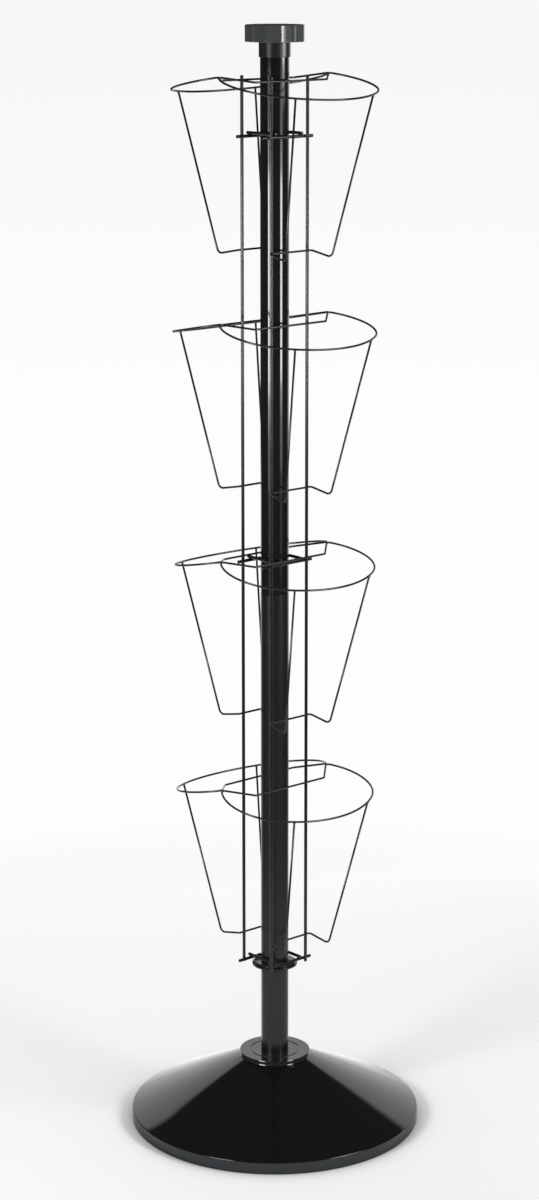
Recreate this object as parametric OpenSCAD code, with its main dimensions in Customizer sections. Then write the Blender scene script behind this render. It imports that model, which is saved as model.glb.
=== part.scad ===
// Rotating magazine rack: a weighted cone foot, a pole in two lengths and a welded wire
// carousel that turns on it, with four tiers of pockets in two columns back to back.
// The origin is on the floor, on the pole's axis. +Z is up, and X runs along the carousel's
// two panels. A "pocket" faces outwards along Y. Everything is in millimetres.

/* [Foot] */
// Outer diameter of the round foot
base_d = 400; // [360:1:440]
// Height of the upright band round the foot's edge
rim_h = 16.6; // [12:0.2:20]
// Height of the cone's flat top above the floor
cone_top_z = 91.7; // [84:0.1:100]
// Diameter of the cone's flat top
cone_top_d = 92; // [86:1:96]
// Sheet thickness of the foot's cover
cover_t = 1.5; // [1:0.1:2.5]
// Rounding of the cover's outer edges
cover_edge_r = 1.6; // [1:0.1:3]
// Gap between the cover's edge and the floor
rim_gap = 0.8; // [0.4:0.1:2]
// Space between the ballast's edge and the outside of the rim
ballast_margin = 30; // [22:1:50]
// Thickness of the ballast disc
ballast_t = 14; // [12:0.5:18]
// Diameter of the ballast's raised middle
boss_d = 64; // [56:1:72]
// Height of the ballast's raised middle above its disc
boss_h = 8; // [5:0.5:12]
// Outer diameter of the tube that carries the cover's top on the ballast
spacer_d = 48; // [44:1:54]
// Wall of that tube
spacer_wall = 3; // [2:0.5:5]
// Diameter of one rubber foot pad
pad_d = 24; // [18:1:30]
// Thickness of the foot pads
pad_t = 4; // [3:0.5:6]
// Number of foot pads
pad_count = 4; // [3:1:6]
// Space between the edge of the ballast and the edge of a pad
pad_inset = 8; // [4:1:16]
// Angle of the first pad round the pole, from the X axis
pad_turn = 45; // [0:1:90]

/* [Collar on the foot] */
// Diameter of the collar that the pole stands in
collar_d = 97.8; // [94:0.2:104]
// Thickness of the collar
collar_t = 7; // [6:0.5:10]
// Thickness of the collar under the pole's end
collar_floor_t = 2; // [1.5:0.5:3]
// Rounding of the collar's upper edge
collar_edge_r = 1; // [0.5:0.1:1.5]
// Middle diameter of the ring groove in the collar's top
groove_d = 67; // [60:0.5:76]
// Width of the ring groove
groove_w = 1.6; // [1:0.1:2.4]
// Depth of the ring groove
groove_deep = 0.8; // [0.4:0.1:1.2]

/* [Pole] */
// Outer diameter of the pole
pole_d = 38; // [35:0.5:41]
// Wall of the pole's tubes
pole_wall = 1.5; // [1.2:0.1:2]
// Length of the pole's lower tube
lower_tube_l = 661.3; // [600:0.1:720]
// Height of the pole's end above the highest pocket ring
pole_above_ring = 39.9; // [34:0.1:60]
// Chamfer on the tube ends at the joint
joint_chamfer = 0.6; // [0.3:0.1:1]
// Length of the sleeve inside the joint
coupler_l = 90; // [60:1:120]
// Wall of that sleeve
coupler_wall = 2; // [1.5:0.1:3]
// Length of the plugs in the pole's two ends
plug_l = 30; // [25:1:40]

/* [Fasteners] */
// Thread diameter of the foot bolt
bolt_d = 12; // [10:1:14]
// Width across the flats of the bolt's head
bolt_flats = 19; // [17:1:21]
// Height of the bolt's head
bolt_head_h = 7.5; // [6:0.5:8]
// Length of the bolt's thread inside the pole's plug
bolt_in_plug = 20; // [14:1:24]
// Diameter of the washer under the bolt's head
washer_d = 30; // [26:1:34]
// Thickness of that washer
washer_t = 2.5; // [2:0.5:3]
// Thread diameter of the cap's stud
stud_d = 10; // [8:1:12]
// Length of the stud inside the cap
stud_in_cap = 15; // [10:1:18]
// Length of the stud inside the pole's plug
stud_in_plug = 18; // [12:1:24]

/* [Cap] */
// Diameter of the cap's grip over its ribs
grip_d = 78.6; // [74:0.2:84]
// Height of the cap's grip
grip_h = 21.6; // [18:0.1:28]
// Number of flats round the grip
grip_flats = 12; // [8:1:16]
// Radius of the hollow in each flat
flat_hollow_r = 57.6; // [50:0.1:80]
// Width of the rib left between two flats
grip_rib_w = 0.8; // [0.5:0.1:2]
// Chamfer on the grip's edges
grip_chamfer = 0.8; // [0.4:0.1:1.5]
// Wall of the cap's skirt round the pole
skirt_wall = 1.6; // [1.2:0.05:4]
// Length of the skirt below the grip
skirt_l = 19.4; // [14:0.1:24]
// Thickness of the cap between the pole's end and the grip
cap_web = 2.4; // [1.5:0.1:4]

/* [Turning seat] */
// Height of the seat's underside above the collar
seat_above_collar = 126.6; // [110:0.1:150]
// Thickness of the steel seat disc on the pole
seat_t = 3; // [2:0.5:4]
// Width of the seat that shows outside the lowest cross wires
seat_lip = 4.8; // [3:0.1:7]
// Thickness of the slip washer on the seat
slip_t = 2; // [1.5:0.1:3]
// Edge of the seat that the slip washer leaves bare
slip_inset = 3.1; // [0.5:0.1:4]

/* [Carousel frame] */
// Diameter of the uprights
upright_wire = 4.4; // [3.4:0.1:5]
// Distance between the two uprights of a panel, between their middles
upright_pitch = 63; // [60:0.5:72]
// Diameter of the cross wires
cross_wire = 4.4; // [3.4:0.1:5]
// Length of the cross wires
cross_l = 88; // [80:1:98]
// Space between the pole and the cross wires
cross_gap = 3.3; // [3:0.1:6]
// Diameter of the link bars that join the two panels
link_wire = 4.4; // [3.4:0.1:5]
// Space between the pole and the link bars
link_gap = 1.4; // [1.2:0.1:2.5]
// Length of a link bar past the middle of the cross wire
link_tail = 4; // [2.4:0.1:4.8]
// Length of an upright below the middle of the lowest cross wire
upright_tail = 4.3; // [2.5:0.1:6]
// Length of an upright above the middle of the highest ring's back bar
upright_stub = 6.1; // [3:0.1:12]
// Depth of the middle cross wires below the plane of the second pocket ring from below
mid_cross_drop = 11.6; // [3:0.1:30]
// Depth of the highest cross wires below the plane of the highest pocket ring
top_cross_drop = 78.1; // [50:0.1:100]

/* [Pockets] */
// Height of the lowest pocket ring above the lowest cross wires
first_ring_rise = 263; // [250:0.1:280]
// Height from one tier to the next
tier_pitch = 315.4; // [300:0.1:330]
// Diameter of the pocket wire
pocket_wire = 2.8; // [2:0.1:3.2]
// Slope of the ring's plane, outer edge lower
ring_tilt = 11.2; // [8:0.1:14]
// Width of the ring between its wire's middles
ring_w = 227; // [220:1:236]
// Distance from the pole's axis to the middle of the ring's front wire, along its plane
ring_reach = 133.1; // [128:0.1:140]
// Distance from the pole's axis to the ring's widest place, along its plane
ring_wide_at = 48.7; // [46:0.1:52]
// Width of the ring's straight back bar between its corners
ring_bar_w = 124.4; // [118:0.2:128]
// Distance from the ring's ends to the plane between the two columns, along its plane
ring_end_gap = 2.3; // [1.8:0.1:4]
// Radius of the ring's front, to the wire's middle
ring_front_r = 147.2; // [138:0.1:160]
// Radius of the ring's small bends, to the wire's middle
ring_bend_r = 5; // [3.5:0.5:7]
// Angle between the back bar and the slanting wire at its end
ring_jog_turn = 45; // [40:1:55]
// Distance between the tops of a cradle's two legs
leg_top_w = 133.6; // [120:0.2:140]
// Distance between a cradle's two outer bottom corners
leg_foot_w = 80.6; // [76:0.2:90]
// Distance from the pole's axis to those corners
leg_foot_out = 66.4; // [60:0.1:74]
// Height of the ring's plane at the pole's axis above those corners
leg_foot_drop = 232.7; // [224:0.1:236]
// Distance between a cradle's two inner bottom corners
leg_heel_w = 72.6; // [71:0.2:80]
// Height of the cradle's bottom bar above its outer corners
heel_rise = 6.8; // [2:0.1:12]
// Radius of the cradle's outer bends, to the wire's middle
foot_bend_r = 7; // [4:0.5:9]
// Radius of the cradle's inner bends, to the wire's middle
heel_bend_r = 3.5; // [2.5:0.5:4]

/* [Fits] */
// Depth that one welded wire sinks into the next
weld = 0.2; // [0.1:0.05:0.25]
// Gap round parts that stay put in a hole
fit_gap = 0.1; // [0.05:0.05:0.2]
// Gap between a thread and its nut thread
thread_gap = 0.05; // [0.02:0.01:0.1]
// Gap round the foot bolt in its plain holes
bolt_gap = 0.5; // [0.3:0.1:1]
// Gap round the foot bolt's washer in the ballast's hollow
washer_gap = 1; // [0.5:0.1:2]
// Gap between the carousel's lowest wires and the slip washer
run_gap = 0.3; // [0.2:0.05:0.5]

/* [Hidden] */
$fn = 64;

// A cut runs this far past the faces that it opens
past = 1;
// Straight steps in an outline's rounded edge
edge_steps = 5;
// The collar over each join of a straight and a bend stands out this far, so a wire is one solid
join_over = 0.02;
join_l = 0.2;
bolt_sides = 6;
tiers = 4;
ends = ["left", "right"];
columns = ["front", "back"];
levels = ["low", "mid", "top"];

// Heights in the foot
pad_ring_r = base_d / 2 - ballast_margin - pad_inset - pad_d / 2;
ballast_r = base_d / 2 - ballast_margin;
ballast_top = pad_t + ballast_t;
boss_top = ballast_top + boss_h;
cover_under = cone_top_z - cover_t;
collar_top = cone_top_z + collar_t;
pole_foot_z = cone_top_z + collar_floor_t;
bolt_head_z = pad_t;
washer_z = bolt_head_z + bolt_head_h;
washer_top = washer_z + washer_t;
bolt_hole_d = bolt_d + 2 * bolt_gap;

// Heights of the turning seat and the carousel
seat_z = collar_top + seat_above_collar;
slip_z = seat_z + seat_t;
low_cross_z = slip_z + slip_t + run_gap + cross_wire / 2;
first_ring_z = low_cross_z + first_ring_rise;
function ring_z(tier) = first_ring_z + (tier - 1) * tier_pitch;
cross_z = [low_cross_z, ring_z(2) - mid_cross_drop, ring_z(tiers) - top_cross_drop];

// Places of the wires, out from the pole's axis, and the height of the uprights' tops
pole_r = pole_d / 2;
bore_r = pole_r - pole_wall;
cross_y = pole_r + cross_gap + cross_wire / 2;
upright_y = cross_y + (cross_wire + upright_wire) / 2 - weld;
bar_y = upright_y + (upright_wire + pocket_wire) / 2 - weld;
link_x = pole_r + link_gap + link_wire / 2;
seat_r = cross_y + cross_wire / 2 + seat_lip;
upright_top_z = ring_z(tiers) - bar_y * tan(ring_tilt) + upright_stub;

// Heights of the pole and its cap
joint_z = pole_foot_z + lower_tube_l;
pole_top_z = ring_z(4) + pole_above_ring;
grip_z = pole_top_z + cap_web;
skirt_z = grip_z - skirt_l;
skirt_r = pole_r + fit_gap + skirt_wall;

// The ring's outline in its own plane: x across, y outwards. From the back bar it slants
// back, turns in a small bend, and runs on in three arcs that touch each other: a back arc
// up to the widest place, a side arc from there, and the front arc.
bar_v = bar_y / cos(ring_tilt);
slant_l = (bar_v - ring_end_gap - ring_bend_r * (1 - cos(ring_jog_turn))) / sin(ring_jog_turn);
end_c = [
    ring_bar_w / 2 + slant_l * cos(ring_jog_turn) + ring_bend_r * sin(ring_jog_turn),
    ring_end_gap + ring_bend_r
];
ring_half = ring_w / 2;
ring_deep = ring_reach - ring_wide_at;
end_dx = end_c.x - ring_half;
end_dy = end_c.y - ring_wide_at;
back_r = (end_dx * end_dx + end_dy * end_dy - ring_bend_r * ring_bend_r)
    / (-2 * (end_dx + ring_bend_r));
back_c = [ring_half - back_r, ring_wide_at];
side_r = (ring_half * ring_half + ring_deep * ring_deep - 2 * ring_deep * ring_front_r)
    / (2 * (ring_half - ring_front_r));
side_c = [ring_half - side_r, ring_wide_at];
front_c = [0, ring_reach - ring_front_r];
back_from = atan2(end_c.y - back_c.y, end_c.x - back_c.x);
front_from = atan2(side_c.y - front_c.y, side_c.x - front_c.x);

function unit(v) = v / norm(v);
function on_arc(c, r, at) = c + r * [cos(at), sin(at)];
function arc(c, r, from, to, steps) =
    [for (i = [0 : steps]) on_arc(c, r, from + (to - from) * i / steps)];

// Ring or sleeve round the Z axis, from z = low to z = high
module tube(low, high, r, hole_r) {
    translate([0, 0, low])
        difference() {
            cylinder(r = r, h = high - low);
            translate([0, 0, -past])
                cylinder(r = hole_r, h = high - low + 2 * past);
        }
}

// Turns +Z to the direction v
module along(v) {
    rotate([0, acos(v.z / norm(v)), atan2(v.y, v.x)])
        children();
}

// Straight wire from p to q
module rod(p, q, d) {
    translate(p)
        along(q - p)
            cylinder(d = d, h = norm(q - p));
}

// Wire bent round the centre c. It starts in the direction a from c, and heads along b.
module bend(c, a, b, r, turn, d) {
    n = cross(a, b);
    multmatrix([[a.x, b.x, n.x, c.x], [a.y, b.y, n.y, c.y], [a.z, b.z, n.z, c.z]])
        rotate_extrude(angle = turn)
            translate([r, 0])
                circle(d = d);
}

// Collar over a join at p, where the wire runs in the direction v
module join(p, v, d) {
    translate(p)
        along(v)
            translate([0, 0, -join_l / 2])
                cylinder(d = d + 2 * join_over, h = join_l);
}

// Pocket wire in the plane z = 0: a straight, an arc, and the collar on a join where the wire
// runs at the angle at
module flat_rod(p, q) {
    rod([p.x, p.y, 0], [q.x, q.y, 0], pocket_wire);
}

module flat_arc(c, r, from, to) {
    translate([c.x, c.y, 0])
        rotate([0, 0, from])
            rotate_extrude(angle = to - from)
                translate([r, 0])
                    circle(d = pocket_wire);
}

module flat_join(p, at) {
    join([p.x, p.y, 0], [cos(at), sin(at), 0], pocket_wire);
}

function corner_turn(p, i) = acos(unit(p[i] - p[i - 1]) * unit(p[i + 1] - p[i]));
function corner_trim(p, r, i) =
    i == 0 || i == len(p) - 1 ? 0 : r[i] * tan(corner_turn(p, i) / 2);

// Wire through the points p, bent at each corner with the radius given for it in r
module bent_wire(p, r, d) {
    for (i = [0 : len(p) - 2]) {
        ahead = unit(p[i + 1] - p[i]);
        rod(p[i] + ahead * corner_trim(p, r, i), p[i + 1] - ahead * corner_trim(p, r, i + 1), d);
    }
    for (i = [1 : len(p) - 2]) {
        before = unit(p[i] - p[i - 1]);
        after = unit(p[i + 1] - p[i]);
        inward = unit(after - before * (before * after));
        start = p[i] - before * corner_trim(p, r, i);
        bend(start + inward * r[i], -inward, before, r[i], corner_turn(p, i), d);
        join(start, before, d);
        join(p[i] + after * corner_trim(p, r, i), after, d);
    }
}

// Foot

module foot_pads() {
    color("#1c1c1d")
        for (i = [0 : pad_count - 1])
            rotate([0, 0, pad_turn + i * 360 / pad_count])
                translate([pad_ring_r, 0, 0])
                    cylinder(d = pad_d, h = pad_t);
}

module base_ballast() {
    color("#4a4a4c")
        difference() {
            union() {
                translate([0, 0, pad_t])
                    cylinder(r = ballast_r, h = ballast_t);
                translate([0, 0, ballast_top])
                    cylinder(d = boss_d, h = boss_h);
            }
            translate([0, 0, pad_t - past])
                cylinder(d = bolt_hole_d, h = ballast_t + boss_h + 2 * past);
            translate([0, 0, pad_t - past])
                cylinder(d = washer_d + 2 * washer_gap, h = washer_top - pad_t + past);
        }
}

// Spun cover: the outline of its sheet, outside then inside, turned round the axis
module base_cover() {
    outer_r = base_d / 2;
    top_r = cone_top_d / 2;
    slope = atan2(cone_top_z - rim_h, outer_r - top_r);
    rim_turn = 90 - slope;
    rim_c = [outer_r - cover_edge_r, rim_h - cover_edge_r * tan(rim_turn / 2)];
    top_c = [top_r - cover_edge_r * tan(slope / 2), cone_top_z - cover_edge_r];
    inner_r = outer_r - cover_t;
    inner_rim_h = rim_h + cover_t * tan(slope) - cover_t / cos(slope);
    inner_top_r = outer_r - (cone_top_z - rim_h - cover_t + cover_t / cos(slope)) / tan(slope);
    hole_r = spacer_d / 2 - spacer_wall;
    color("#141413")
        rotate_extrude()
            polygon(concat(
                [[outer_r, rim_gap]],
                arc(rim_c, cover_edge_r, 0, rim_turn, edge_steps),
                arc(top_c, cover_edge_r, rim_turn, 90, edge_steps),
                [
                    [hole_r, cone_top_z],
                    [hole_r, cover_under],
                    [inner_top_r, cover_under],
                    [inner_r, inner_rim_h],
                    [inner_r, rim_gap]
                ]
            ));
}

module base_spacer() {
    color("#8d8f92")
        tube(boss_top, cover_under, spacer_d / 2, spacer_d / 2 - spacer_wall);
}

module base_bolt() {
    color("#9a9c9f")
        union() {
            translate([0, 0, bolt_head_z])
                cylinder(d = bolt_flats / cos(180 / bolt_sides), h = bolt_head_h, $fn = bolt_sides);
            translate([0, 0, washer_z])
                cylinder(d = bolt_d, h = pole_foot_z + bolt_in_plug - washer_z);
        }
}

module base_washer() {
    color("#a7a9ac")
        tube(washer_z, washer_top, washer_d / 2, bolt_hole_d / 2);
}

module base_collar() {
    edge_c = [collar_d / 2 - collar_edge_r, collar_top - collar_edge_r];
    groove_outer_r = (groove_d + groove_w) / 2;
    color("#2b2b2a")
        difference() {
            rotate_extrude()
                polygon(concat(
                    [[0, cone_top_z], [collar_d / 2, cone_top_z]],
                    arc(edge_c, collar_edge_r, 0, 90, edge_steps),
                    [[0, collar_top]]
                ));
            translate([0, 0, pole_foot_z])
                cylinder(r = pole_r + fit_gap, h = collar_t);
            translate([0, 0, cone_top_z - past])
                cylinder(d = bolt_hole_d, h = collar_t);
            tube(collar_top - groove_deep, collar_top + past, groove_outer_r, groove_outer_r - groove_w);
        }
}

// Pole

module plug(z, hole_d) {
    color("#85878a")
        tube(z, z + plug_l, bore_r - fit_gap, hole_d / 2);
}

// Length of the pole from z = low to z = high, with a chamfer where the two tubes meet
module pole_tube(low, high, low_chamfer, high_chamfer) {
    color("#1b1b1a")
        rotate_extrude()
            polygon([
                [bore_r, low],
                [pole_r - low_chamfer, low],
                [pole_r, low + low_chamfer],
                [pole_r, high - high_chamfer],
                [pole_r - high_chamfer, high],
                [bore_r, high]
            ]);
}

module pole_foot_plug() {
    plug(pole_foot_z, bolt_d + 2 * thread_gap);
}

module pole_top_plug() {
    plug(pole_top_z - plug_l, stud_d + 2 * thread_gap);
}

module pole_lower_tube() {
    pole_tube(pole_foot_z, joint_z, 0, joint_chamfer);
}

module pole_upper_tube() {
    pole_tube(joint_z, pole_top_z, joint_chamfer, 0);
}

module pole_coupler() {
    coupler_r = bore_r - fit_gap;
    color("#77797c")
        tube(joint_z - coupler_l / 2, joint_z + coupler_l / 2, coupler_r, coupler_r - coupler_wall);
}

// Seat that the carousel turns on

module turning_seat() {
    color("#222221")
        tube(seat_z, slip_z, seat_r, pole_r);
}

module slip_washer() {
    color("#1a1a1c")
        tube(slip_z, slip_z + slip_t, seat_r - slip_inset, pole_r + fit_gap);
}

// Cap

module top_cap() {
    grip_r = grip_d / 2;
    // Half the angle that one hollow flat takes up between its two ribs
    half_flat = 180 / grip_flats - asin(grip_rib_w / 2 / grip_r);
    hollow_c = grip_r * cos(half_flat)
        + sqrt(flat_hollow_r * flat_hollow_r - pow(grip_r * sin(half_flat), 2));
    color("#35383a")
        difference() {
            rotate_extrude()
                polygon([
                    [0, skirt_z],
                    [skirt_r, skirt_z],
                    [skirt_r, grip_z],
                    [grip_r - grip_chamfer, grip_z],
                    [grip_r, grip_z + grip_chamfer],
                    [grip_r, grip_z + grip_h - grip_chamfer],
                    [grip_r - grip_chamfer, grip_z + grip_h],
                    [0, grip_z + grip_h]
                ]);
            for (i = [0 : grip_flats - 1])
                rotate([0, 0, (i + 0.5) * 360 / grip_flats])
                    translate([hollow_c, 0, grip_z - past])
                        cylinder(r = flat_hollow_r, h = grip_h + 2 * past);
            translate([0, 0, skirt_z - past])
                cylinder(r = pole_r + fit_gap, h = pole_top_z - skirt_z + past);
            translate([0, 0, pole_top_z - past])
                cylinder(d = stud_d + 2 * thread_gap, h = stud_in_cap + past);
        }
}

module cap_stud() {
    color("#9a9c9f")
        translate([0, 0, pole_top_z - stud_in_plug])
            cylinder(d = stud_d, h = stud_in_plug + stud_in_cap);
}

// Carousel frame

module upright(end, column) {
    x = (end == "left" ? -1 : 1) * upright_pitch / 2;
    y = (column == "front" ? -1 : 1) * upright_y;
    color("#262626")
        rod([x, y, low_cross_z - upright_tail], [x, y, upright_top_z], upright_wire);
}

module cross_wire(column, level) {
    y = (column == "front" ? -1 : 1) * cross_y;
    color("#262626")
        rod([-cross_l / 2, y, cross_z[level]], [cross_l / 2, y, cross_z[level]], cross_wire);
}

// A link bar lies on the two cross wires of its level
module link_bar(end, level) {
    x = (end == "left" ? -1 : 1) * link_x;
    y = cross_y + link_tail;
    z = cross_z[level] + (cross_wire + link_wire) / 2 - weld;
    color("#262626")
        rod([x, -y, z], [x, y, z], link_wire);
}

// Pockets, made for the back column and turned round for the front one

module column_side(column) {
    rotate([0, 0, column == "front" ? 180 : 0])
        children();
}

// Half of the ring, from the middle of its back bar to the middle of its front
module half_ring() {
    jog_trim = ring_bend_r * tan(ring_jog_turn / 2);
    slant = [cos(ring_jog_turn), -sin(ring_jog_turn)];
    corner = [ring_bar_w / 2, bar_v];
    bar_end = corner - [jog_trim, 0];
    slant_end = on_arc(end_c, ring_bend_r, -90 - ring_jog_turn);
    flat_rod([0, bar_v], bar_end);
    flat_arc(bar_end - [0, ring_bend_r], ring_bend_r, 90 - ring_jog_turn, 90);
    flat_rod(corner + slant * jog_trim, slant_end);
    flat_arc(end_c, ring_bend_r, -90 - ring_jog_turn, back_from);
    flat_arc(back_c, back_r, back_from, 0);
    flat_arc(side_c, side_r, 0, front_from);
    flat_arc(front_c, ring_front_r, front_from, 90);
    flat_join(bar_end, 0);
    flat_join(corner + slant * jog_trim, -ring_jog_turn);
    flat_join(slant_end, -ring_jog_turn);
    flat_join(on_arc(back_c, back_r, back_from), back_from + 90);
    flat_join(on_arc(side_c, side_r, 0), 90);
    flat_join(on_arc(side_c, side_r, front_from), front_from + 90);
}

module ring(column, tier) {
    color("#262626")
        translate([0, 0, ring_z(tier)])
            column_side(column)
                rotate([-ring_tilt, 0, 0])
                    union() {
                        half_ring();
                        mirror([1, 0, 0])
                            half_ring();
                        for (v = [bar_v, ring_reach])
                            flat_join([0, v], 0);
                    }
}

// One wire: down a leg, in to the uprights, across them and back up. Its ends sink a weld's
// depth into the underside of the ring.
module cradle(column, tier) {
    top_v = front_c.y + sqrt(pow(ring_front_r, 2) - pow(leg_top_w / 2, 2));
    ring_at = [leg_top_w / 2, top_v * cos(ring_tilt), -top_v * sin(ring_tilt)];
    foot = [leg_foot_w / 2, leg_foot_out, -leg_foot_drop];
    heel = [leg_heel_w / 2, bar_y, heel_rise - leg_foot_drop];
    top = ring_at + unit(foot - ring_at) * (pocket_wire / 2 - weld);
    flip = [[-1, 0, 0], [0, 1, 0], [0, 0, 1]];
    color("#262626")
        translate([0, 0, ring_z(tier)])
            column_side(column)
                bent_wire(
                    [top, foot, heel, flip * heel, flip * foot, flip * top],
                    [0, foot_bend_r, heel_bend_r, heel_bend_r, foot_bend_r, 0],
                    pocket_wire
                );
}

foot_pads();
base_ballast();
base_cover();
base_spacer();
base_bolt();
base_washer();
base_collar();
pole_foot_plug();
pole_lower_tube();
pole_coupler();
pole_upper_tube();
turning_seat();
slip_washer();
pole_top_plug();
cap_stud();
top_cap();
for (column = columns)
    for (end = ends)
        upright(end, column);
for (column = columns)
    for (i = [0 : len(levels) - 1])
        cross_wire(column, i);
for (end = ends)
    for (i = [0 : len(levels) - 1])
        link_bar(end, i);
for (column = columns)
    for (tier = [1 : tiers])
        ring(column, tier);
for (column = columns)
    for (tier = [1 : tiers])
        cradle(column, tier);
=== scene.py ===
import math

import bpy
import numpy as np
from mathutils import Euler, Matrix, Vector


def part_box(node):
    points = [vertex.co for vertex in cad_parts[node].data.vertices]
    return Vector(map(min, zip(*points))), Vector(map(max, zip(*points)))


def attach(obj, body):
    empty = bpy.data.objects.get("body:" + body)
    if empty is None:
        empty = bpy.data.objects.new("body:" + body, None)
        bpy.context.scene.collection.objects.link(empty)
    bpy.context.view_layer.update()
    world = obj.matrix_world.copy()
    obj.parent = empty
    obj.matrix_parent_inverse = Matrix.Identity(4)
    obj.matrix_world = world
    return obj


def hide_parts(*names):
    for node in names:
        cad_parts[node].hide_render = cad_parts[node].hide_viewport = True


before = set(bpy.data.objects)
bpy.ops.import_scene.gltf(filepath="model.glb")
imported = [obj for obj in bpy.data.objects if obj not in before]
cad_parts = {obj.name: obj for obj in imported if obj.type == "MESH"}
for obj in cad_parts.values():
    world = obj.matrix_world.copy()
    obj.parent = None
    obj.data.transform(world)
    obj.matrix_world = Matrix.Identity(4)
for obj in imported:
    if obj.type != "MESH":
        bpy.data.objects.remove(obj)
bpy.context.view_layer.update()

# Rotating magazine rack: finishes, turned parts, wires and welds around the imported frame, and
# the studio. Metres, +Z up, the pole on the Z axis. The front column of pockets faces -Y.

sideOf = {"front": -1, "back": 1}  # the way that each column of pockets faces along Y
ends = ("left", "right")
levels = ("low", "mid", "top")
tiers = (1, 2, 3, 4)
pieceCount = {"made": 0}


def cornersOf(name):
    # Lowest and highest corner of a node of the frame
    low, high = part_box(name)
    return np.array(low), np.array(high)


def heightsOf(name):
    # Z of the node's two corners
    low, high = cornersOf(name)
    return low[2], high[2]


def middleOf(name):
    # (low + high) / 2 for the node's two corners
    low, high = cornersOf(name)
    return (low + high) / 2


def unit(v):
    # v / |v| for each row
    return v / np.linalg.norm(v, axis=-1, keepdims=True)


def ringOf(count):
    # a_j = 2 pi j / count, so the last angle stops short of the first
    return np.arange(count) * 2 * math.pi / count


def arcPoints(centre, radius, start, stop, steps):
    # p = centre + radius (cos a, sin a), with a in degrees from start to stop
    a = np.radians(np.linspace(start, stop, steps + 1))
    return np.array(centre) + radius * np.stack([np.cos(a), np.sin(a)], -1)


def roundedPath(corners, radii, steps, hold, closed):
    # Each corner becomes an arc that touches both of its sides at r tan(turn / 2) from it:
    # p = start + inward r (1 - cos a) + before r sin a, with a from 0 to the turn.
    # A point before and after each arc keeps the shading of the flats flat. It lies at hold
    # from the arc, or at a third of the straight stretch that the arcs leave if that is less.
    corners = np.array(corners, float)
    inner = slice(None) if closed else slice(1, -1)
    before = unit(corners - np.roll(corners, 1, 0))[inner]
    after = unit(np.roll(corners, -1, 0) - corners)[inner]
    along = np.sum(before * after, -1, keepdims=True)
    inward = unit(after - before * along)
    turn = np.arccos(np.clip(along, -1, 1))
    r = np.broadcast_to(np.array(radii, float), len(corners))[inner, None]
    trim = r * np.tan(turn / 2)
    taken = np.zeros(len(corners))
    taken[inner] = trim[:, 0]
    side = np.linalg.norm(corners - np.roll(corners, 1, 0), axis=-1)
    spare = np.minimum((side - taken - np.roll(taken, 1)) / 3, hold)
    start = corners[inner] - before * trim
    a = turn[:, None] * np.linspace(0, 1, steps + 1)[None, :, None]
    arc = (
        start[:, None] + inward[:, None] * r[:, None] * (1 - np.cos(a))
        + before[:, None] * r[:, None] * np.sin(a)
    )
    first = (start - before * spare[inner, None])[:, None]
    last = (corners[inner] + after * (trim + np.roll(spare, -1)[inner, None]))[:, None]
    points = np.concatenate([first, arc, last], 1).reshape(-1, corners.shape[1])
    if closed:
        return points
    return np.concatenate([corners[:1], points, corners[-1:]])


def gridFaces(rows, columns, loop):
    # Quad (i, j) joins rows i and i + 1 at columns j and j + 1. Columns close up, and rows do
    # when loop is set. If not, a fan closes the first row and another the last, to two points
    # that are numbered after the grid.
    i = np.arange(rows if loop else rows - 1)[:, None]
    j = np.arange(columns)
    nextI = (i + 1) % rows
    nextJ = (j + 1) % columns
    quads = np.stack([
        i * columns + j, i * columns + nextJ, nextI * columns + nextJ, nextI * columns + j
    ], -1).reshape(-1, 4)
    if loop:
        return [quads]
    top = (rows - 1) * columns
    hub = np.full(columns, rows * columns)
    fans = np.concatenate([
        np.stack([nextJ, j, hub], -1), np.stack([top + j, top + nextJ, hub + 1], -1)
    ])
    return [quads, fans]


def turned(r, z, a):
    # Point (i, j) = (r cos a_j, r sin a_j, z_i), where r is r_i or r_ij
    return np.stack([r * np.cos(a), r * np.sin(a), z + 0 * a], -1).reshape(-1, 3)


def swept(path, radius, steady, sides, loop):
    # Point (i, j) = p_i + r_i (cos a_j side_i + sin a_j up_i). The direction t_i halves the
    # angle between the stretches at p_i, side = steady x t, and up = t x side. On an open path
    # its two ends follow, for the fans.
    back = unit(path - np.roll(path, 1, 0))
    ahead = unit(np.roll(path, -1, 0) - path)
    if not loop:
        back[0] = ahead[0]
        ahead[-1] = back[-1]
    t = unit(back + ahead)
    side = unit(np.cross(np.broadcast_to(steady, t.shape), t))
    up = np.cross(t, side)
    a = ringOf(sides)[None, :, None]
    r = np.broadcast_to(radius, len(path))[:, None, None]
    tube = path[:, None] + r * (np.cos(a) * side[:, None] + np.sin(a) * up[:, None])
    tube = tube.reshape(-1, 3)
    return tube if loop else np.concatenate([tube, path[[0, -1]]])


def addMesh(name, points, faces, finish):
    # Smooth mesh object at the origin
    mesh = bpy.data.meshes.new(name)
    mesh.from_pydata(points.tolist(), [], [face for part in faces for face in part.tolist()])
    mesh.polygons.foreach_set("use_smooth", np.ones(len(mesh.polygons), bool))
    mesh.materials.append(finish)
    mesh.update()
    made = bpy.data.objects.new(name, mesh)
    bpy.context.scene.collection.objects.link(made)
    return made


def addPiece(name, points, faces, finish, body, replaced=()):
    # Mesh object on its body and in place of its nodes
    piece = addMesh(name, points, faces, finish)
    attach(piece, body)
    if replaced:
        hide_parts(*replaced)
    pieceCount["made"] += 1


turning = {"steps": 4, "hold": 0.0002}


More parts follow.
